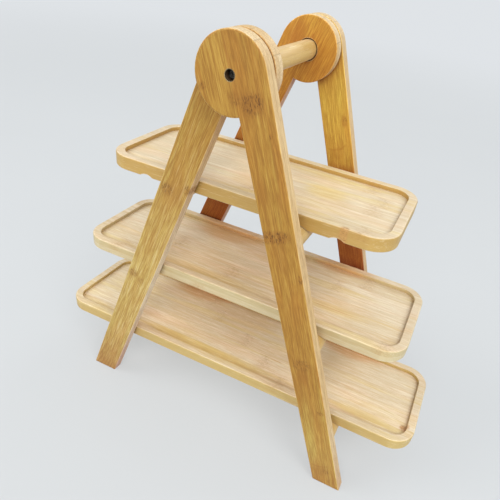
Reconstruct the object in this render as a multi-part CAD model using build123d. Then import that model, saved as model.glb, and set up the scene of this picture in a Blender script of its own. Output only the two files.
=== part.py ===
from build123d import *
import math
import os

# Foldable tray riser. Units are millimetres.
# +X runs along the trays, +Y from the front frame side to the back one, +Z up.
# The origin is on the floor, midway between the four feet.

# Stand: two A-frames that cross at a round head on each side
SPREAD = 20.0            # lean of every leg from the vertical, degrees
PIVOT_Z = 350.0          # height of the fold axis
HEAD_R = 26.0            # round head at the top of a leg
LEG_W = 26.0             # leg width, from the line through the pivot outwards
LEG_T = 12.0             # board thickness of a leg
LEG_ROUND = 1.2          # rounded long edges of a leg
INNER_SPAN = 113.0       # clear width between the inner legs
HEAD_GAP = 1.5           # thin gap between an outer and an inner head

# Round bars: the handle and the rails that carry the trays
BAR_R = 8.0
RAIL_OFFSET = 15.0       # rail centre from the leg's pivot line
SOCKET_DEPTH = 8.0       # blind hole for a rail in a leg
HANDLE_SOCKET_DEPTH = 3.0
HANDLE_SOCKET_R = 8.9    # round recess that takes the end of the handle
GLUE_GAP = 0.05          # radial gap of a rail in its socket
BAR_CHAMFER = 0.8        # lead-in on the ends of the bars

# Trays, from the bottom one up
TRAY_NAMES = ("bottom", "middle", "top")
TRAY_BOTTOM_Z = (56.5, 152.5, 247.5)
TRAY_LENGTH = (400.0, 328.5, 257.0)
TRAY_DEPTH = 109.0
TRAY_T = 12.0
TRAY_CORNER_R = 22.0
RIM_W = 8.0
RECESS = 4.0             # floor of a tray below its rim
RIM_ROUND = 1.5          # outer top edge of the rim
RIM_INNER_ROUND = 0.8    # inner top edge of the rim
UNDER_ROUND = 0.8        # bottom edge of the tray
SEAT_DEPTH = 2.0         # how far a rail sits up into a tray
SEAT_R = 10.0            # groove under a tray, wider than the rail in it
SEAT_GAP = 0.3           # space between the top of a rail and its groove
SEAT_RAMP = 20.0         # slope of a seat's inner side, degrees
SPARE_SEAT_X = 86.0      # second pair of seats under the top tray

# Pivot hardware
SCREW_R = 2.0
SCREW_HEAD_R = 3.3
SCREW_HEAD_T = 3.0
SCREW_RECESS = 5.0       # head below the face of the outer leg
HEAD_POCKET_R = 3.6
RUNNING_GAP = 0.05       # radial gap round a screw
DRIVE_R = 1.45           # hexagonal drive in the screw head, across corners
DRIVE_DEPTH = 1.6
FACE_GAP = 0.05          # play between a screw head or washer and a leg
WASHER_R = 11.0
INSERT_R = 3.5
INSERT_LENGTH = 14.0
SCREW_GRIP = 12.0        # length of screw inside the handle

INNER_FACE_Y = INNER_SPAN / 2
HEAD_FACE_Y = INNER_FACE_Y + LEG_T
OUTER_FACE_Y = HEAD_FACE_Y + HEAD_GAP
SIDE_Y = OUTER_FACE_Y + LEG_T

LEAN = math.radians(SPREAD)


def leg_point(lean_sign, offset, drop):
    """X and Z of a point a given offset outside a leg's pivot line and a given way down it."""
    x = lean_sign * (offset * math.cos(LEAN) + drop * math.sin(LEAN))
    z = PIVOT_Z + offset * math.sin(LEAN) - drop * math.cos(LEAN)
    return x, z


def drop_to_height(offset, z):
    """How far down a leg the line at this offset reaches the height z."""
    return (PIVOT_Z + offset * math.sin(LEAN) - z) / math.cos(LEAN)


def rail_centre(lean_sign, level):
    """X and Z of the rail that carries the tray at this level."""
    z = TRAY_BOTTOM_Z[level] + SEAT_DEPTH - BAR_R
    return leg_point(lean_sign, RAIL_OFFSET, drop_to_height(RAIL_OFFSET, z))


def side_plane(y):
    """Drawing plane at this Y; its x is +X, its y is +Z, and it faces -Y."""
    return Plane(origin=(0, y, 0), x_dir=(1, 0, 0), z_dir=(0, -1, 0))


def bar_along_y(x, z, radius, y_low, y_high):
    """Plain round bar parallel to Y."""
    axis = Plane(origin=(x, y_low, z), x_dir=(1, 0, 0), z_dir=(0, 1, 0))
    return axis * Cylinder(radius, y_high - y_low, align=(Align.CENTER, Align.CENTER, Align.MIN))


def leg_blank(lean_sign, y_low):
    """Leg board: a round head, and a straight shank that sits to the outer side of the pivot."""
    inner_foot = leg_point(lean_sign, 0, drop_to_height(0, 0))
    outer_foot = leg_point(lean_sign, LEG_W, drop_to_height(LEG_W, 0))
    outer_top = leg_point(lean_sign, LEG_W, 0)
    with BuildPart() as leg:
        with BuildSketch(side_plane(y_low + LEG_T)):
            with BuildLine():
                Polyline((0, PIVOT_Z), outer_top, outer_foot, inner_foot, close=True)
            make_face()
            with Locations((0, PIVOT_Z)):
                Circle(HEAD_R)
        extrude(amount=LEG_T)
        front = leg.faces().sort_by(Axis.Y)[0]
        back = leg.faces().sort_by(Axis.Y)[-1]
        fillet(front.edges() + back.edges(), LEG_ROUND)
    return leg.part


def sockets(lean_sign, y_low, y_high):
    """Blind holes for the three rails."""
    holes = []
    for level in range(len(TRAY_NAMES)):
        x, z = rail_centre(lean_sign, level)
        holes.append(bar_along_y(x, z, BAR_R + GLUE_GAP, y_low, y_high))
    return holes


def outer_leg(side):
    """Leg of the outer frame; side is -1 at the front and +1 at the back."""
    y_low = min(side * OUTER_FACE_Y, side * SIDE_Y)
    leg = leg_blank(1, y_low)
    bottom_of_socket = side * (OUTER_FACE_Y + SOCKET_DEPTH)
    mouth = side * OUTER_FACE_Y
    for hole in sockets(1, min(bottom_of_socket, mouth), max(bottom_of_socket, mouth)):
        leg -= hole
    leg -= bar_along_y(0, PIVOT_Z, SCREW_R + RUNNING_GAP, y_low, y_low + LEG_T)
    pocket_floor = side * (SIDE_Y - SCREW_RECESS - SCREW_HEAD_T - FACE_GAP)
    face = side * SIDE_Y
    leg -= bar_along_y(0, PIVOT_Z, HEAD_POCKET_R, min(pocket_floor, face), max(pocket_floor, face))
    return leg


def inner_leg(side):
    """Leg of the inner frame; side is -1 at the front and +1 at the back."""
    y_low = min(side * INNER_FACE_Y, side * HEAD_FACE_Y)
    leg = leg_blank(-1, y_low)
    bottom_of_socket = side * (INNER_FACE_Y + SOCKET_DEPTH)
    mouth = side * INNER_FACE_Y
    for hole in sockets(-1, min(bottom_of_socket, mouth), max(bottom_of_socket, mouth)):
        leg -= hole
    leg -= bar_along_y(0, PIVOT_Z, SCREW_R + RUNNING_GAP, y_low, y_low + LEG_T)
    handle_floor = side * (INNER_FACE_Y + HANDLE_SOCKET_DEPTH)
    leg -= bar_along_y(0, PIVOT_Z, HANDLE_SOCKET_R, min(handle_floor, mouth), max(handle_floor, mouth))
    return leg


def round_bar(x, z, half_length):
    """Wooden bar with chamfered ends, centred on Y = 0."""
    bar = bar_along_y(x, z, BAR_R, -half_length, half_length)
    return chamfer(bar.edges().filter_by(GeomType.CIRCLE), BAR_CHAMFER)


def rail(lean_sign, level):
    """Round rail between two legs, glued into their sockets."""
    x, z = rail_centre(lean_sign, level)
    face = OUTER_FACE_Y if lean_sign > 0 else INNER_FACE_Y
    return round_bar(x, z, face + SOCKET_DEPTH)


def handle_bar():
    """Carrying handle on the fold axis, bored at each end for a threaded insert."""
    half_length = INNER_FACE_Y + HANDLE_SOCKET_DEPTH
    bar = round_bar(0, PIVOT_Z, half_length)
    for side in (-1, 1):
        end = side * half_length
        floor = side * (half_length - INSERT_LENGTH)
        bar -= bar_along_y(0, PIVOT_Z, INSERT_R + GLUE_GAP, min(end, floor), max(end, floor))
    return bar


def threaded_insert(side):
    """Metal sleeve in the end of the handle."""
    outer_end = side * (INNER_FACE_Y + HANDLE_SOCKET_DEPTH - FACE_GAP)
    inner_end = outer_end - side * (INSERT_LENGTH - 2 * FACE_GAP)
    low = min(outer_end, inner_end)
    high = max(outer_end, inner_end)
    sleeve = bar_along_y(0, PIVOT_Z, INSERT_R, low, high)
    sleeve -= bar_along_y(0, PIVOT_Z, SCREW_R + RUNNING_GAP, low, high)
    return sleeve


def pivot_screw(side):
    """Screw that joins an outer head to the handle, with a hexagonal drive in its head."""
    head_top = side * (SIDE_Y - SCREW_RECESS)
    head_base = head_top - side * SCREW_HEAD_T
    tip = side * (INNER_FACE_Y + HANDLE_SOCKET_DEPTH - SCREW_GRIP)
    screw = bar_along_y(0, PIVOT_Z, SCREW_HEAD_R, min(head_top, head_base), max(head_top, head_base))
    screw = fillet(screw.edges().filter_by(GeomType.CIRCLE).sort_by(Axis.Y)[0 if side < 0 else -1], 0.5)
    screw += bar_along_y(0, PIVOT_Z, SCREW_R, min(tip, head_base), max(tip, head_base))
    drive_plane = Plane(origin=(0, head_top, PIVOT_Z), x_dir=(1, 0, 0), z_dir=(0, -side, 0))
    screw -= extrude(drive_plane * RegularPolygon(DRIVE_R, 6), DRIVE_DEPTH)
    return screw


def washer(side):
    """Flat washer in the gap between the two heads."""
    low = min(side * HEAD_FACE_Y, side * (OUTER_FACE_Y - FACE_GAP))
    high = max(side * HEAD_FACE_Y, side * (OUTER_FACE_Y - FACE_GAP))
    ring = bar_along_y(0, PIVOT_Z, WASHER_R, low, high)
    ring -= bar_along_y(0, PIVOT_Z, SCREW_R + RUNNING_GAP, low, high)
    return ring


def seat_cutter(x, rail_z, ramp_side):
    """Groove for a rail: round, with its side towards the tray's middle opened to a ramp."""
    z = rail_z + BAR_R + SEAT_GAP - SEAT_R
    groove = bar_along_y(x, z, SEAT_R, -TRAY_DEPTH, TRAY_DEPTH)
    if ramp_side == 0:
        return groove
    slope = math.radians(SEAT_RAMP)
    across = (ramp_side * math.sin(slope) * SEAT_R, math.cos(slope) * SEAT_R)
    along = (ramp_side * math.cos(slope) * 3 * SEAT_R, -math.sin(slope) * 3 * SEAT_R)
    touch = (x + across[0], z + across[1])
    exit_top = (touch[0] + along[0], touch[1] + along[1])
    with BuildPart() as ramp:
        with BuildSketch(side_plane(TRAY_DEPTH)):
            with BuildLine():
                Polyline((x, z), touch, exit_top, (exit_top[0], exit_top[1] - SEAT_R), close=True)
            make_face()
        extrude(amount=2 * TRAY_DEPTH)
    return groove + ramp.part


def tray(level):
    """Board with rounded corners, a recessed floor and cross grooves underneath for the rails."""
    length = TRAY_LENGTH[level]
    bottom = TRAY_BOTTOM_Z[level]
    with BuildPart() as board:
        with BuildSketch(Plane.XY.offset(bottom)):
            RectangleRounded(length, TRAY_DEPTH, TRAY_CORNER_R)
        extrude(amount=TRAY_T)
        fillet(board.faces().sort_by(Axis.Z)[-1].edges(), RIM_ROUND)
        fillet(board.faces().sort_by(Axis.Z)[0].edges(), UNDER_ROUND)
        with BuildSketch(Plane.XY.offset(bottom + TRAY_T)):
            RectangleRounded(length - 2 * RIM_W, TRAY_DEPTH - 2 * RIM_W, TRAY_CORNER_R - RIM_W)
        extrude(amount=-RECESS, mode=Mode.SUBTRACT)
        rim_top = board.faces().filter_by(Axis.Z).sort_by(Axis.Z)[-1]
        fillet(rim_top.inner_wires()[0].edges(), RIM_INNER_ROUND)
    plate = board.part
    for lean_sign in (-1, 1):
        x, z = rail_centre(lean_sign, level)
        plate -= seat_cutter(x, z, -lean_sign)
        if level == len(TRAY_NAMES) - 1:
            plate -= seat_cutter(lean_sign * SPARE_SEAT_X, z, 0)
    return plate


def save(name, shape):
    export_step(shape, os.path.join("parts", name + ".step"))


os.makedirs("parts", exist_ok=True)

for side, place in ((-1, "front"), (1, "back")):
    save("outer_leg_" + place, outer_leg(side))
    save("inner_leg_" + place, inner_leg(side))
    save("pivot_screw_" + place, pivot_screw(side))
    save("spacer_washer_" + place, washer(side))
    save("threaded_insert_" + place, threaded_insert(side))

save("handle_bar", handle_bar())

for level, name in enumerate(TRAY_NAMES):
    save("outer_rail_" + name, rail(1, level))
    save("inner_rail_" + name, rail(-1, level))
    save("tray_" + name, tray(level))
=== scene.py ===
"""Looks of the folding tray riser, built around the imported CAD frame. Units are metres."""

import math

import bpy
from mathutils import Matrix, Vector


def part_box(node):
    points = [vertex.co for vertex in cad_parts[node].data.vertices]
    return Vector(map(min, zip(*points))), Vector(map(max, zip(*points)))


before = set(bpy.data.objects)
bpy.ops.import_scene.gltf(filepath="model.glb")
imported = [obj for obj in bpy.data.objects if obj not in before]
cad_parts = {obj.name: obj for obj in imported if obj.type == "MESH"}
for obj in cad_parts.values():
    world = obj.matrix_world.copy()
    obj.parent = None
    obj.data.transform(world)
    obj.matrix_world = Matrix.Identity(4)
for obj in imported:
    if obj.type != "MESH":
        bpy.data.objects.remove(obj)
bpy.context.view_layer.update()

# Build of the stand, for placing grain
LEAN = math.radians(20.0)
PIVOT_Z = 0.350
INNER_FACE_Y = 0.0565
OUTER_FACE_Y = 0.070

# The tables of marks are in mm
MM_PER_METRE = 1000

# Camera of the reference view: its turn is in degrees about X, Y and Z, its lens and shift
# are shares of the sensor's width
CAMERA_PLACE = (0.14597, -0.36443, 0.42112)
CAMERA_TURN = (52.648, -6.9228, 25.6624)
SENSOR_WIDTH = 36.0
FOCAL_SHARE = 0.941793
SHIFT = (-0.016, 0.09)

# Light that the paper gives of itself, as on a lit table, and the tone of the air behind it
PAPER_GLOW = 0.41
AIR = (0.93, 0.965, 1.0)
AIR_STRENGTH = 0.80

# Round paper floor: radii of its flat rings, the curve up into the backdrop, its number of
# sides, and the distances from the middle at which the paper starts and ends its fade
FLAT_RADII = (0.0, 0.5, 1.5, 3.2)
SWEEP_RADIUS = 1.2
SWEEP_ANGLE = math.radians(80)
SWEEP_STEPS = 12
FLOOR_SIDES = 96
FADE_FROM, FADE_TO = 0.8, 3.1

# Softboxes: one size, spread and aim for all, then name, place, power and colour of each
LAMP_SIZE = 2.2
LAMP_SPREAD = math.radians(110)
LAMP_AIM = (0, 0, 0.2)
LAMPS = (
    ("key", (2.16, -1.62, 2.58), 23.0, (1.0, 0.985, 0.96)),
    ("left_fill", (-2.34, -1.26, 2.4), 15.8, (1.0, 0.985, 0.96)),
    ("front_fill", (0.40, -3.7, 1.9), 30.0, (1.0, 0.98, 0.95)),
    ("back_fill", (0.90, 3.5, 2.3), 10.0, (1.0, 0.985, 0.96)),
)

# Painted shade in deep corners: how far the corners reach, and what is added to a face's normal
# before looking for them
CORNER_SHADE_REACH = 0.12
TILT_TO_FRONT = (0.0, -0.8, 0.0)

# Painted shade in crevices: how far the crevices reach, and what they multiply the wood's colour by
CREVICE_SHADE_REACH = 0.006
CREVICE_SHADE_COLOUR = (0.25, 0.16, 0.12)

# Painted shade in the hole at the pivot, where the screw's head is sunk: radius, soft edge and dark
# colour
BORE = 0.0038
BORE_BLUR = 0.0003
BORE_SHADE_COLOUR = (0.03, 0.02, 0.01)

# Radius of the rounded edges that get a painted highlight
EDGE_HIGHLIGHT_RADIUS = 0.0012


class Nodes:
    """Small helper that adds shader nodes to one material and wires them."""

    def __init__(self, name):
        self.material = bpy.data.materials.new(name)
        self.material.use_nodes = True
        self.tree = self.material.node_tree
        self.tree.nodes.clear()
        self.output = self.tree.nodes.new("ShaderNodeOutputMaterial")

    def feed(self, socket, value):
        if isinstance(value, bpy.types.NodeSocket):
            self.tree.links.new(value, socket)
        elif socket.type == "RGBA":
            socket.default_value = (*value, 1.0)
        else:
            socket.default_value = value

    def coords(self):
        return self.tree.nodes.new("ShaderNodeTexCoord").outputs["Object"]

    def math(self, operation, a, b=0.0, c=0.0):
        node = self.tree.nodes.new("ShaderNodeMath")
        node.operation = operation
        for socket, value in zip(node.inputs, (a, b, c)):
            self.feed(socket, value)
        return node.outputs[0]

    def vector(self, operation, a, b=(0.0, 0.0, 0.0)):
        node = self.tree.nodes.new("ShaderNodeVectorMath")
        node.operation = operation
        self.feed(node.inputs[0], a)
        self.feed(node.inputs[1], b)
        return node.outputs["Value" if operation == "DOT_PRODUCT" else "Vector"]

    def dot(self, a, b):
        return self.vector("DOT_PRODUCT", a, b)

    def combine(self, x, y, z):
        node = self.tree.nodes.new("ShaderNodeCombineXYZ")
        for socket, value in zip(node.inputs, (x, y, z)):
            self.feed(socket, value)
        return node.outputs[0]

    def noise(self, vector, scale, detail, roughness=0.5):
        node = self.tree.nodes.new("ShaderNodeTexNoise")
        node.noise_dimensions = "3D"
        self.feed(node.inputs["Vector"], vector)
        node.inputs["Scale"].default_value = scale
        node.inputs["Detail"].default_value = detail
        node.inputs["Roughness"].default_value = roughness
        return node.outputs["Fac"]

    def random(self, value):
        node = self.tree.nodes.new("ShaderNodeTexWhiteNoise")
        node.noise_dimensions = "1D"
        self.feed(node.inputs["W"], value)
        return node.outputs["Value"]

    def ramp(self, value, low, high, to_low=0.0, to_high=1.0):
        node = self.tree.nodes.new("ShaderNodeMapRange")
        node.interpolation_type = "SMOOTHSTEP"
        node.clamp = True
        names = ("Value", "From Min", "From Max", "To Min", "To Max")
        for name, v in zip(names, (value, low, high, to_low, to_high)):
            self.feed(node.inputs[name], v)
        return node.outputs["Result"]

    def mix(self, factor, a, b, blend="MIX"):
        node = self.tree.nodes.new("ShaderNodeMix")
        node.data_type = "RGBA"
        node.blend_type = blend
        self.feed(node.inputs["Factor"], factor)
        for name, value in (("A", a), ("B", b)):
            socket = [s for s in node.inputs if s.name == name and s.type == "RGBA"][0]
            self.feed(socket, value)
        return [s for s in node.outputs if s.type == "RGBA"][0]

    def tint(self, factor, base, colour):
        """The base multiplied by this colour, as far as the factor says."""
        return self.mix(factor, base, self.mix(1.0, base, colour, "MULTIPLY"))

    def occlusion(self, reach, samples):
        """Ambient occlusion node: near 0 in corners, 1 in the open."""
        node = self.tree.nodes.new("ShaderNodeAmbientOcclusion")
        node.samples = samples
        node.inputs["Distance"].default_value = reach
        return node

    def bump(self, height, distance, strength):
        node = self.tree.nodes.new("ShaderNodeBump")
        node.inputs["Strength"].default_value = strength
        node.inputs["Distance"].default_value = distance
        self.feed(node.inputs["Height"], height)
        return node.outputs["Normal"]

    def surface(self, colour, roughness, normal):
        """Principled shader on the output, fed with these three."""
        shader = self.tree.nodes.new("ShaderNodeBsdfPrincipled")
        self.feed(shader.inputs["Base Color"], colour)
        self.feed(shader.inputs["Roughness"], roughness)
        self.feed(shader.inputs["Normal"], normal)
        self.tree.links.new(shader.outputs[0], self.output.inputs["Surface"])
        return shader


def strip_noise(n, u, v, t, along, across, detail=2.0, roughness=0.55):
    """Noise stretched along the grain: features 1/along long and 1/across wide, in metres."""
    place = n.combine(
        n.math("MULTIPLY", u, along), n.math("MULTIPLY", v, across), n.math("MULTIPLY", t, across)
    )
    return n.noise(place, 1.0, detail, roughness)


def nearness(n, place, middle, reach):
    """1 at the middle, falling smoothly to 0 at this reach."""
    away = n.math("ABSOLUTE", n.math("SUBTRACT", place, middle))
    return n.ramp(away, 0.0, reach, 1.0, 0.0)


def glue_line(n, part, width, half_line, strength):
    """Thin line along both edges of a strip or ply, where part runs from 0 to 1 across it."""
    away = n.math("MULTIPLY", n.math("MINIMUM", part, n.math("SUBTRACT", 1.0, part)), width)
    return n.ramp(away, 0.0, half_line, strength, 0.0)


def paint_marks(n, marks, place, pattern, knuckle, stain_and_shade):
    """Adds the marks of one piece to its knuckles and to its stains and painted shade, and returns
    its gold zones too.
    """
    u, v, bowed = place
    band, streak, dash_noise = pattern
    gold = 0.0
    for kind, mark_u, mark_v, half_u, half_v, strength in marks:
        along = nearness(n, bowed if kind == "line" else u, mark_u, half_u)
        where = n.math("MULTIPLY", along, nearness(n, v, mark_v, half_v))
        ragged = n.math("MULTIPLY_ADD", n.math("SUBTRACT", band, 0.5), 1.1, where)
        # stains: real stains, and on the far edges of the bottom and middle trays painted shade under
        # the tray above
        if kind == "stain_and_shade":
            stain_and_shade = n.math("MAXIMUM", stain_and_shade, n.ramp(ragged, 0.20, 0.80, 0.0, strength))
        elif kind == "gold":
            gold = n.math("MAXIMUM", gold, n.ramp(ragged, 0.20, 0.80, 0.0, strength))
        elif kind == "line":
            stain_and_shade = n.math("MAXIMUM", stain_and_shade, n.ramp(where, 0.1, 0.8, 0.0, strength))
        elif kind == "dashes":
            spots = n.math("MULTIPLY", n.ramp(dash_noise, 0.45, 0.68), n.ramp(where, 0.0, 0.6))
            knuckle = n.math("MAXIMUM", knuckle, n.math("MULTIPLY", spots, strength))
            stain_and_shade = n.math("MAXIMUM", stain_and_shade, n.ramp(where, 0.0, 0.6, 0.0, 0.8 * strength))
        else:
            thin = n.math("MULTIPLY", n.ramp(where, 0.1, 0.7), n.ramp(streak, 0.30, 0.55))
            stain_and_shade = n.math("MAXIMUM", stain_and_shade, n.math("MULTIPLY", thin, 1.4 * strength))
    return knuckle, stain_and_shade, gold


def shade_place(n, base, u, v, forward, normal, look):
    """Painted light on the faces turned to the front, the foot's tone, then painted shade in deep
    corners, crevices and the bore.
    """
    # painted light: the faces turned to the front are brightened and tinted by this gain
    base = n.tint(forward, base, look["front_gain"])
    # the foot's tone: on the back legs painted shade below the trays, on the front legs paler towards
    # the foot
    foot = n.ramp(u, look["foot_from"], look["foot_to"])
    foot = n.math("MULTIPLY", foot, n.ramp(forward, 0.0, 1.0, look["foot_round"], 1.0))
    base = n.tint(foot, base, look["foot_colour"])

    # painted shade: deep corners and places under the trays and heads are darker and redder
    corner_shade_occlusion = n.occlusion(CORNER_SHADE_REACH, 6)
    tilted = n.vector("NORMALIZE", n.vector("ADD", normal, TILT_TO_FRONT))
    n.tree.links.new(tilted, corner_shade_occlusion.inputs["Normal"])
    buried = n.ramp(
        corner_shade_occlusion.outputs["AO"], look["corner_shade_from"], look["buried_to"], look["corner_shade_share"], 0.0
    )
    base = n.tint(buried, base, look["buried_colour"])
    # painted shade in crevices and narrow gaps
    crevice_shade_occlusion = n.occlusion(CREVICE_SHADE_REACH, 4)
    base = n.tint(n.ramp(crevice_shade_occlusion.outputs["AO"], 0.10, 0.55, 0.85, 0.0), base, CREVICE_SHADE_COLOUR)

    # painted shade inside the hole at the pivot
    if look["bore"]:
        squares = n.math("ADD", n.math("POWER", u, 2.0), n.math("POWER", v, 2.0))
        from_pivot = n.math("SQRT", squares)
        bore_shade = n.ramp(from_pivot, look["bore"], look["bore"] + BORE_BLUR, 0.9, 0.0)
        base = n.mix(bore_shade, base, BORE_SHADE_COLOUR)
    return base


def paint_edge_highlight(n, base, normal, warm, look):
    """Painted highlight: the rounded edges are painted paler, as where light catches them."""
    bevel = n.tree.nodes.new("ShaderNodeBevel")
    bevel.samples = 4
    bevel.inputs["Radius"].default_value = EDGE_HIGHLIGHT_RADIUS
    edge_highlight_mask = n.ramp(n.dot(bevel.outputs[0], normal), 0.80, 0.99, 1.0, 0.0)
    edge_highlight_mask = n.math("MULTIPLY", edge_highlight_mask, n.ramp(warm, 0.30, 0.65, 1.0, 0.45))
    return n.mix(n.math("MULTIPLY", edge_highlight_mask, look["edge_highlight"]), base, look["edge_highlight_colour"])


def bamboo(name, grain, across, origin, seed, look, marks=()):
    """Laminated bamboo whose fibres run along grain, in strips laid side by side along across.

    The position along the grain is u, across the strips v and through the plies t.
    Each mark is (kind, u, v, half length, half width, strength)."""
    n = Nodes(name)
    texture = n.tree.nodes.new("ShaderNodeTexCoord")
    fibre_axis = Vector(grain).normalized()
    strip_axis = Vector(across).normalized()
    through = fibre_axis.cross(strip_axis)
    start = Vector(origin)
    u, v, t = (
        n.math("SUBTRACT", n.dot(texture.outputs["Object"], axis), axis.dot(start))
        for axis in (fibre_axis, strip_axis, through)
    )
    flat = n.math("ABSOLUTE", n.dot(texture.outputs["Normal"], through))
    edge_face = n.ramp(flat, 0.45, 0.85, 1.0, 0.0)
    forward = n.ramp(n.dot(texture.outputs["Normal"], (0, -1, 0)), 0.3, 0.8)

    # Strips and plies, each with its own tone and its own stretch of the fibre pattern
    strip_place = n.math("DIVIDE", v, look["strip"])
    ply_place = n.math("DIVIDE", t, look["ply"])
    strip_part = n.math("FRACT", strip_place)
    ply_part = n.math("FRACT", ply_place)
    strip_key = n.math("MULTIPLY_ADD", n.math("FLOOR", strip_place), 7.31, seed)
    key = n.math("ADD", strip_key, n.math("MULTIPLY", n.math("FLOOR", ply_place), 3.17))
    tone = n.random(key)
    knuckle_start = n.random(n.math("ADD", key, 51.7))
    slide = n.random(n.math("ADD", key, 93.1))
    slid = n.math("ADD", u, n.math("MULTIPLY", slide, 2.0))

    # Fibres: soft bands, streaks, hairs and short dark vessels
    drift = strip_noise(n, slid, v, t, 14.0, 30.0, 1.0)
    bent = n.math("MULTIPLY_ADD", n.math("SUBTRACT", drift, 0.5), 0.0035, v)
    band = strip_noise(n, slid, bent, t, 9.0, 260.0, 3.0, 0.6)
    streak = strip_noise(n, slid, bent, t, 55.0, 1050.0, 3.0, 0.65)
    hair = strip_noise(n, slid, bent, t, 85.0, 2600.0, 3.0, 0.65)
    vessel = n.ramp(strip_noise(n, slid, bent, t, 140.0, 1500.0), 0.60, 0.72)
    warm = strip_noise(n, n.math("ADD", slid, 3.3), v, t, 13.0, 55.0)
    green = strip_noise(n, n.math("ADD", slid, 7.7), v, t, 10.0, 75.0)

    # Knuckles of the culm: a bowed line across the strip with short dark dashes round it
    spacing = look["knuckle_spacing"]
    from_middle = n.math("SUBTRACT", strip_part, 0.5)
    bow = n.math("MULTIPLY", n.math("POWER", from_middle, 2.0), 0.014)
    ripple = n.math("MULTIPLY", n.math("SUBTRACT", streak, 0.5), 0.006)
    bowed = n.math("ADD", u, n.math("ADD", bow, ripple))
    along = n.math("MULTIPLY_ADD", knuckle_start, spacing, bowed)
    part = n.math("FRACT", n.math("DIVIDE", along, spacing))
    away = n.math("MULTIPLY", n.math("ABSOLUTE", n.math("SUBTRACT", part, 0.5)), spacing)
    line = n.math("MULTIPLY", n.ramp(away, 0.0003, 0.0016, 1.0, 0.0), n.ramp(streak, 0.38, 0.60))
    zone = n.ramp(away, 0.001, 0.011, 1.0, 0.0)
    dash_noise = strip_noise(n, u, v, t, 420.0, 1700.0, 1.0)
    dashes = n.math("MULTIPLY", n.ramp(dash_noise, 0.50, 0.66), zone)
    ring = n.math("MAXIMUM", n.math("MULTIPLY", line, 0.55), dashes)
    knuckle = n.math("MULTIPLY", look["knuckle"], ring)
    stain_and_shade = n.math("MULTIPLY", look["knuckle"], n.math("MULTIPLY", zone, 0.35))
    knuckle, stain_and_shade, gold = paint_marks(
        n, marks, (u, v, bowed), (band, streak, dash_noise), knuckle, stain_and_shade
    )
    seams = n.math(
        "MAXIMUM",
        glue_line(n, strip_part, look["strip"], 0.00040, look["seam"]),
        glue_line(n, ply_part, look["ply"], 0.00035, look["seam"]),
    )

    # Colour of the flat faces and of the edges
    face = n.mix(tone, look["deep"], look["light"])
    face = n.mix(n.ramp(warm, 0.44, 0.74, 0.0, look["warm_share"]), face, look["warm"])
    face = n.mix(n.ramp(green, 0.46, 0.74, 0.0, look["green_share"]), face, look["green"])
    edge = n.mix(tone, look["edge_deep"], look["edge_light"])
    base = n.mix(edge_face, face, edge)
    base = n.mix(gold, base, look["gold"])
    # stains, with the painted shade along the trays' far edges
    base = n.mix(n.math("MULTIPLY", stain_and_shade, 0.9), base, look["stain_and_shade"])

    # Fibres over both, weaker on the edges: pattern, its range, the share at each end, colour
    fibre = n.math("MULTIPLY_ADD", edge_face, -0.45, 1.0)
    for pattern, low, high, at_low, at_high, colour in (
        (band, 0.34, 0.62, look["band"], 0.0, "dark"),
        (band, 0.54, 0.80, 0.0, look["shine"], "bright"),
        (streak, 0.36, 0.58, look["streak"], 0.0, "dark"),
        (streak, 0.52, 0.74, 0.0, look["shine"], "bright"),
        (hair, 0.38, 0.62, look["hair"], 0.0, "dark"),
    ):
        share = n.math("MULTIPLY", fibre, n.ramp(pattern, low, high, at_low, at_high))
        base = n.mix(share, base, look[colour])
    base = n.mix(n.math("MULTIPLY", vessel, look["vessel"]), base, look["vessel_colour"])
    base = n.mix(knuckle, base, look["knuckle_colour"])
    base = n.mix(seams, base, look["knuckle_colour"])

    normal = n.tree.nodes.new("ShaderNodeNewGeometry").outputs["Normal"]
    base = shade_place(n, base, u, v, forward, normal, look)
    # painted highlight along the rounded edges
    base = paint_edge_highlight(n, base, normal, warm, look)

    roughness = n.math("MULTIPLY_ADD", n.math("SUBTRACT", hair, 0.5), 0.25, look["roughness"])
    roughness = n.math("MULTIPLY_ADD", n.math("SUBTRACT", warm, 0.5), 0.15, roughness)
    relief = n.math("MULTIPLY_ADD", hair, 0.5, n.math("MULTIPLY", streak, 0.5))
    relief = n.math("MULTIPLY_ADD", vessel, -0.5, relief)
    relief = n.math("MULTIPLY_ADD", knuckle, -0.5, relief)
    relief = n.math("MULTIPLY_ADD", seams, -0.8, relief)
    shader = n.surface(base, roughness, n.bump(relief, 0.00012, 0.6))
    shader.inputs["Specular IOR Level"].default_value = look["specular"]
    shader.inputs["Coat Weight"].default_value = look["coat"]
    shader.inputs["Coat Roughness"].default_value = 0.35
    return n.material


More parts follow.
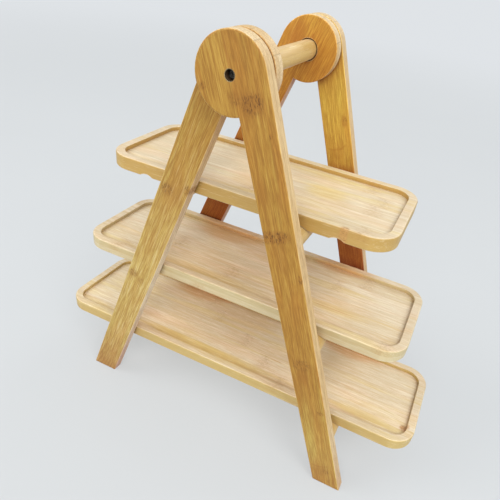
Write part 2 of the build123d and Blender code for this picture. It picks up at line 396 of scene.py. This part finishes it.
# Colours, sizes in metres and shares from 0 to 1. Strips and plies make the board, then come colours,
# strengths of the patterns, the painted highlight of the edges, gloss, and the painted light and
# shade by place: a gain of light on the faces turned to the front, the foot's tone between two
# distances from the pivot, and painted shade in deep corners.
LEG_LOOK = {
    "strip": 0.0205,
    "ply": 0.0060,
    "knuckle_spacing": 0.31,
    "knuckle": 0.0,
    "seam": 0.35,
    "deep": (0.500, 0.275, 0.042),
    "light": (0.590, 0.350, 0.060),
    "warm": (0.520, 0.215, 0.030),
    "warm_share": 0.65,
    "green": (0.520, 0.375, 0.070),
    "green_share": 0.60,
    "dark": (0.300, 0.130, 0.018),
    "bright": (0.720, 0.520, 0.140),
    "gold": (0.620, 0.440, 0.080),
    "stain_and_shade": (0.380, 0.155, 0.024),
    "vessel_colour": (0.180, 0.075, 0.012),
    "knuckle_colour": (0.090, 0.036, 0.008),
    "edge_deep": (0.640, 0.450, 0.200),
    "edge_light": (0.780, 0.640, 0.390),
    "band": 0.22,
    "streak": 0.72,
    "shine": 0.34,
    "hair": 0.42,
    "vessel": 0.35,
    # painted highlight on the rounded edges: its share and colour
    "edge_highlight": 0.45,
    "edge_highlight_colour": (0.820, 0.660, 0.360),
    "roughness": 0.50,
    "specular": 0.25,
    "coat": 0.05,
    "front_gain": (1.0, 1.0, 1.0),
    "foot_round": 1.0,
    "foot_from": 0.10,
    "foot_to": 0.33,
    "foot_colour": (1.0, 1.0, 1.0),
    # painted shade in deep corners
    "corner_shade_from": 0.30,
    "buried_to": 0.90,
    "corner_shade_share": 1.0,
    "buried_colour": (0.70, 0.42, 0.36),
    "bore": 0.0,
}

TRAY_LOOK = dict(
    LEG_LOOK,
    knuckle=0.35,
    knuckle_spacing=0.27,
    seam=0.14,
    deep=(0.626, 0.535, 0.374),
    light=(0.755, 0.688, 0.545),
    warm=(0.800, 0.590, 0.400),
    warm_share=0.50,
    green=(0.720, 0.590, 0.240),
    dark=(0.520, 0.350, 0.140),
    bright=(0.920, 0.840, 0.660),
    gold=(0.680, 0.520, 0.170),
    # colour of the stains and of the painted shade along the trays' far edges
    stain_and_shade=(0.520, 0.240, 0.075),
    vessel_colour=(0.380, 0.220, 0.070),
    knuckle_colour=(0.280, 0.140, 0.035),
    band=0.26,
    streak=0.34,
    shine=0.40,
    hair=0.24,
    edge_highlight_colour=(0.880, 0.780, 0.560),
    roughness=0.48,
    specular=0.40,
    coat=0.10,
    # painted shade in deep corners, such as under the tray above
    corner_shade_from=0.15,
    buried_to=0.65,
    corner_shade_share=0.60,
    buried_colour=(0.95, 0.70, 0.48),
)

BAR_LOOK = dict(
    TRAY_LOOK,
    strip=0.0110,
    seam=0.06,
    knuckle=0.20,
    deep=(0.530, 0.345, 0.108),
    light=(0.600, 0.420, 0.155),
    edge_deep=(0.530, 0.345, 0.108),
    edge_light=(0.600, 0.420, 0.155),
)

# Marks in mm down the leg from the pivot and across it from the pivot line
LEG_MARKS = {
    "outer_leg_front": (
        ("dashes", 19, 12, 10, 12, 0.90),
        ("dashes", 14, 1, 7, 7, 0.45),
        ("dashes", 3, -21.5, 4, 4, 0.60),
        ("streak", -14, 1.0, 16, 0.9, 0.55),
        ("streak", -12, -3.0, 12, 0.7, 0.30),
        ("streak", 62, 20.2, 30, 1.0, 0.45),
        ("streak", 84, 19.2, 12, 2.2, 0.50),
        ("dashes", 40, 21, 3, 2, 0.60),
        ("stain_and_shade", 75, 7, 24, 6, 0.45),
        ("dashes", 111, 10, 8, 18, 0.95),
        ("stain_and_shade", 122, 10, 12, 12, 0.40),
        ("dashes", 146, 24, 6, 2.5, 0.90),
        ("streak", 160, 23, 14, 0.8, 0.40),
        ("stain_and_shade", 130, 12, 16, 8, 0.45),
        ("dashes", 228, 12, 9, 13, 0.55),
        ("stain_and_shade", 240, 11, 22, 10, 0.65),
        ("dashes", 281, 21, 4, 5, 0.70),
        ("line", 352, 10, 2.2, 16, 0.75),
        ("dashes", 358, 15, 5, 6, 0.55),
        ("stain_and_shade", 358, 10, 12, 16, 0.35),
    ),
    "inner_leg_front": (
        ("dashes", 112, 18, 8, 9, 0.60),
        ("dashes", 102, 2, 7, 5, 0.65),
        ("stain_and_shade", 112, 8, 16, 14, 0.35),
        ("dashes", 217, 20, 7, 7, 0.60),
        ("dashes", 220, 10, 5, 5, 0.35),
        ("streak", 165, 17, 22, 0.8, 0.35),
    ),
    "outer_leg_back": (
        ("stain_and_shade", 64, 21, 10, 5, 0.95),
        ("dashes", 64, 22, 5, 3, 0.60),
        ("line", 89, 12, 2.4, 16, 0.75),
        ("stain_and_shade", 92, 12, 12, 13, 0.40),
        ("streak", 110, 23, 18, 1.0, 0.50),
        ("streak", 30, 8, 26, 0.8, 0.30),
    ),
    "inner_leg_back": (
        ("streak", -11.7, 1.0, 3, 1.1, 0.85),
        ("streak", -24, 1.7, 3, 1.0, 0.60),
        ("streak", -18, 0.8, 12, 0.5, 0.35),
        ("stain_and_shade", -6, 14, 22, 12, 0.70),
        ("stain_and_shade", 60, 12, 50, 16, 0.45),
    ),
}


def repaint(node, material):
    """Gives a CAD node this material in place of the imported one."""
    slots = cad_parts[node].material_slots
    if not slots:
        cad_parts[node].data.materials.append(material)
    for slot in slots:
        slot.material = material


def in_metres(marks, v_start):
    """Marks in metres, with v counted from v_start, which is in metres already."""
    return [
        (
            kind,
            u / MM_PER_METRE,
            v / MM_PER_METRE - v_start,
            half_u / MM_PER_METRE,
            half_v / MM_PER_METRE,
            strength,
        )
        for kind, u, v, half_u, half_v, strength in marks
    ]


def leg_material(node, lean_sign, seed, strip_shift, face_y, **changes):
    """Fibres run down the leg, strips lie side by side across it, plies through its thickness."""
    down = (lean_sign * math.sin(LEAN), 0, -math.cos(LEAN))
    out = (lean_sign * math.cos(LEAN), 0, math.sin(LEAN))
    side = Vector(out) * strip_shift
    origin = (side.x, face_y, PIVOT_Z + side.z)
    marks = in_metres(LEG_MARKS[node], strip_shift)
    look = dict(LEG_LOOK, **changes)
    repaint(node, bamboo("bamboo_" + node, down, out, origin, seed, look, marks))


leg_material(
    "outer_leg_front",
    lean_sign=1,
    seed=3.0,
    strip_shift=0.0,
    face_y=-OUTER_FACE_Y,
    bore=BORE,
    foot_from=0.24,
    foot_to=0.36,
    foot_round=0.3,
    foot_colour=(1.28, 1.66, 2.20),
)
leg_material(
    "outer_leg_back",
    lean_sign=1,
    seed=17.0,
    strip_shift=0.0,
    face_y=OUTER_FACE_Y,
    bore=BORE,
    green_share=0.35,
    buried_to=0.80,
    buried_colour=(0.56, 0.26, 0.34),
    # painted light: the face turned to the front is brightened
    front_gain=(1.60, 1.95, 1.65),
    # painted shade below the trays: darker and redder towards the foot
    foot_round=0.0,
    foot_from=0.090,
    foot_to=0.140,
    foot_colour=(0.65, 0.36, 0.44),
)
leg_material(
    "inner_leg_front",
    lean_sign=-1,
    seed=29.0,
    strip_shift=0.0045,
    face_y=-INNER_FACE_Y,
    deep=(0.560, 0.350, 0.065),
    light=(0.650, 0.435, 0.092),
    bright=(0.760, 0.580, 0.280),
    green_share=0.45,
    warm_share=0.5,
    foot_from=0.03,
    foot_to=0.22,
    foot_colour=(1.26, 1.54, 2.35),
)
leg_material(
    "inner_leg_back",
    lean_sign=-1,
    seed=43.0,
    strip_shift=0.0008,
    face_y=INNER_FACE_Y,
    green_share=0.35,
    # painted light: the face turned to the front is brightened and warmed
    front_gain=(1.30, 1.18, 0.85),
    # painted shade below the trays: darker towards the foot
    foot_round=0.0,
    buried_to=0.80,
    buried_colour=(0.66, 0.30, 0.42),
    foot_from=0.090,
    foot_to=0.140,
    foot_colour=(0.81, 0.72, 0.68),
)

# Side faces of the trays, from the bottom tray up, and marks in mm along X and Y
# Partly painted light: the sides are darker and more golden than the pale floors, as less light falls
# on them
TRAY_SIDES = (
    ((0.437, 0.319, 0.096), (0.521, 0.403, 0.168)),
    ((0.447, 0.378, 0.198), (0.533, 0.468, 0.297)),
    ((0.381, 0.230, 0.045), (0.446, 0.294, 0.076)),
)
TRAY_MARKS = (
    (
        ("stain_and_shade", 190, -31, 7, 6, 1.00),
        ("dashes", 190, -31, 6, 6, 0.75),
        ("streak", 48, -15, 12, 0.9, 0.70),
        ("streak", -30, -22, 60, 0.8, 0.35),
        ("streak", 120, -8, 50, 0.8, 0.35),
        # painted shade along the far edge, under the tray above
        ("stain_and_shade", -72, 46, 70, 30, 0.85),
        ("stain_and_shade", -15, 32, 90, 34, 0.40),
        ("stain_and_shade", 115, 48, 60, 26, 0.80),
        ("stain_and_shade", -110, -22, 26, 12, 0.30),
        ("gold", -30, -40, 150, 15, 0.85),
        ("gold", 150, -36, 60, 13, 0.60),
        ("gold", -150, 10, 60, 40, 0.35),
    ),
    (
        ("streak", 92, -20.5, 34, 1.4, 0.55),
        ("streak", 60, -28, 40, 0.9, 0.35),
        ("streak", -40, -20, 60, 0.8, 0.30),
        # painted shade along the far edge, under the tray above
        ("stain_and_shade", -48, 44, 70, 40, 0.75),
        ("stain_and_shade", 80, 50, 55, 22, 0.75),
        ("stain_and_shade", 10, 30, 80, 34, 0.40),
        ("gold", 92, -20, 60, 12, 0.50),
        ("gold", -30, -40, 120, 15, 0.45),
    ),
    (
        ("streak", 68, -12, 26, 0.9, 0.45),
        ("streak", 62, -18, 20, 0.7, 0.35),
        ("streak", 60, -2, 22, 0.8, 0.35),
        ("dashes", 90, -54.5, 5, 4, 0.80),
        ("gold", 56, 4, 34, 26, 0.60),
        ("stain_and_shade", -5, -20, 30, 22, 0.25),
        ("gold", 60, 40, 90, 8, 0.45),
        ("streak", 20, -30, 40, 0.8, 0.30),
    ),
)

for level, tray in enumerate(("tray_bottom", "tray_middle", "tray_top")):
    low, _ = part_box(tray)
    side_deep, side_light = TRAY_SIDES[level]
    look = dict(TRAY_LOOK, edge_deep=side_deep, edge_light=side_light)
    marks = in_metres(TRAY_MARKS[level], low.y)
    origin = (0.0, low.y, low.z)
    seed = 61.0 + 13.0 * level
    repaint(tray, bamboo("bamboo_" + tray, (1, 0, 0), (0, 1, 0), origin, seed, look, marks))

rails = [side + "_rail_" + at for side in ("outer", "inner") for at in ("bottom", "middle", "top")]
for index, bar in enumerate(["handle_bar"] + rails):
    low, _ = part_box(bar)
    seed = 101.0 + 7.0 * index
    repaint(bar, bamboo("bamboo_" + bar, (0, 1, 0), (1, 0, 0.3), low, seed, BAR_LOOK))


def metal(name, colour, roughness):
    """Turned metal with fine lathe marks and a little tarnish."""
    n = Nodes(name)
    coords = n.coords()
    tarnish = n.noise(coords, 900.0, 3.0)
    marks = n.noise(coords, 6000.0, 2.0)
    worn = tuple(c * 0.45 for c in colour)
    uneven = n.ramp(marks, 0.3, 0.7, roughness - 0.08, roughness + 0.12)
    tarnished = n.mix(n.ramp(tarnish, 0.35, 0.65), colour, worn)
    shader = n.surface(tarnished, uneven, n.bump(marks, 0.00003, 0.5))
    shader.inputs["Metallic"].default_value = 1.0
    return n.material


def plastic(name, colour):
    """Moulded plastic with a fine texture."""
    n = Nodes(name)
    grain = n.noise(n.coords(), 2500.0, 3.0)
    lighter = tuple(c * 1.7 for c in colour)
    uneven = n.ramp(grain, 0.3, 0.7, 0.45, 0.65)
    n.surface(n.mix(grain, colour, lighter), uneven, n.bump(grain, 0.00005, 0.5))
    return n.material


STEEL = metal("screw_steel", (0.13, 0.13, 0.12), 0.32)
BRASS = metal("insert_brass", (0.70, 0.50, 0.22), 0.34)
BLACK_PLASTIC = plastic("washer_plastic", (0.030, 0.026, 0.022))
for place in ("front", "back"):
    repaint("pivot_screw_" + place, STEEL)
    repaint("threaded_insert_" + place, BRASS)
    repaint("spacer_washer_" + place, BLACK_PLASTIC)


def floor_material():
    """Matt pale paper with a faint mottle. Far from the stand it fades into the tone of the air."""
    n = Nodes("studio_paper")
    coords = n.coords()
    mottle = n.noise(coords, 3.0, 4.0)
    fibre = n.noise(coords, 400.0, 3.0)
    far = n.ramp(n.math("SQRT", n.dot(coords, coords)), FADE_FROM, FADE_TO)
    paper = n.mix(mottle, (0.235, 0.243, 0.250), (0.250, 0.258, 0.265))
    colour = n.mix(far, paper, (0.0, 0.0, 0.0))
    shader = n.surface(colour, 0.85, n.bump(fibre, 0.0002, 0.2))
    shader.inputs["Specular IOR Level"].default_value = 0.0
    n.feed(shader.inputs["Emission Color"], n.mix(far, (0.95, 0.985, 1.0), AIR))
    glow = n.math("MULTIPLY_ADD", far, AIR_STRENGTH - PAPER_GLOW, PAPER_GLOW)
    n.feed(shader.inputs["Emission Strength"], glow)
    return n.material


def studio_floor():
    """Round paper floor whose far edge sweeps up into a low backdrop all the way round."""
    profile = [(radius, 0.0) for radius in FLAT_RADII]
    for step in range(1, SWEEP_STEPS + 1):
        angle = step / SWEEP_STEPS * SWEEP_ANGLE
        radius = FLAT_RADII[-1] + SWEEP_RADIUS * math.sin(angle)
        profile.append((radius, SWEEP_RADIUS - SWEEP_RADIUS * math.cos(angle)))
    verts = [(0.0, 0.0, 0.0)]
    for radius, height in profile[1:]:
        for k in range(FLOOR_SIDES):
            turn = 2 * math.pi * k / FLOOR_SIDES
            verts.append((radius * math.cos(turn), radius * math.sin(turn), height))
    faces = [(0, 1 + k, 1 + (k + 1) % FLOOR_SIDES) for k in range(FLOOR_SIDES)]
    for ring in range(len(profile) - 2):
        first = 1 + ring * FLOOR_SIDES
        outer = first + FLOOR_SIDES
        for k in range(FLOOR_SIDES):
            after = (k + 1) % FLOOR_SIDES
            faces.append((first + k, outer + k, outer + after, first + after))
    mesh = bpy.data.meshes.new("studio_floor")
    mesh.from_pydata(verts, [], faces)
    for polygon in mesh.polygons:
        polygon.use_smooth = True
    mesh.materials.append(floor_material())
    floor = bpy.data.objects.new("studio_floor", mesh)
    bpy.context.scene.collection.objects.link(floor)


def area_light(name, place, power, colour):
    lamp = bpy.data.lights.new(name, "AREA")
    lamp.shape = "DISK"
    lamp.spread = LAMP_SPREAD
    lamp.size = LAMP_SIZE
    lamp.energy = power
    lamp.color = colour
    holder = bpy.data.objects.new(name, lamp)
    holder.location = place
    holder.rotation_mode = "QUATERNION"
    holder.rotation_quaternion = (Vector(LAMP_AIM) - Vector(place)).to_track_quat("-Z", "Y")
    bpy.context.scene.collection.objects.link(holder)


studio_floor()
for name, place, power, colour in LAMPS:
    area_light(name, place, power, colour)

world = bpy.data.worlds.new("studio")
world.use_nodes = True
background = world.node_tree.nodes["Background"]
background.inputs["Color"].default_value = (*AIR, 1.0)
background.inputs["Strength"].default_value = AIR_STRENGTH
bpy.context.scene.world = world
bpy.context.scene.view_settings.view_transform = "Standard"

camera_data = bpy.data.cameras.new("camera")
camera_data.sensor_width = SENSOR_WIDTH
camera_data.lens = SENSOR_WIDTH * FOCAL_SHARE
camera_data.shift_x, camera_data.shift_y = SHIFT
camera_data.clip_start = 0.01
camera_data.clip_end = 100.0
camera = bpy.data.objects.new("camera", camera_data)
camera.location = CAMERA_PLACE
camera.rotation_euler = [math.radians(angle) for angle in CAMERA_TURN]
bpy.context.scene.collection.objects.link(camera)
bpy.context.scene.camera = camera
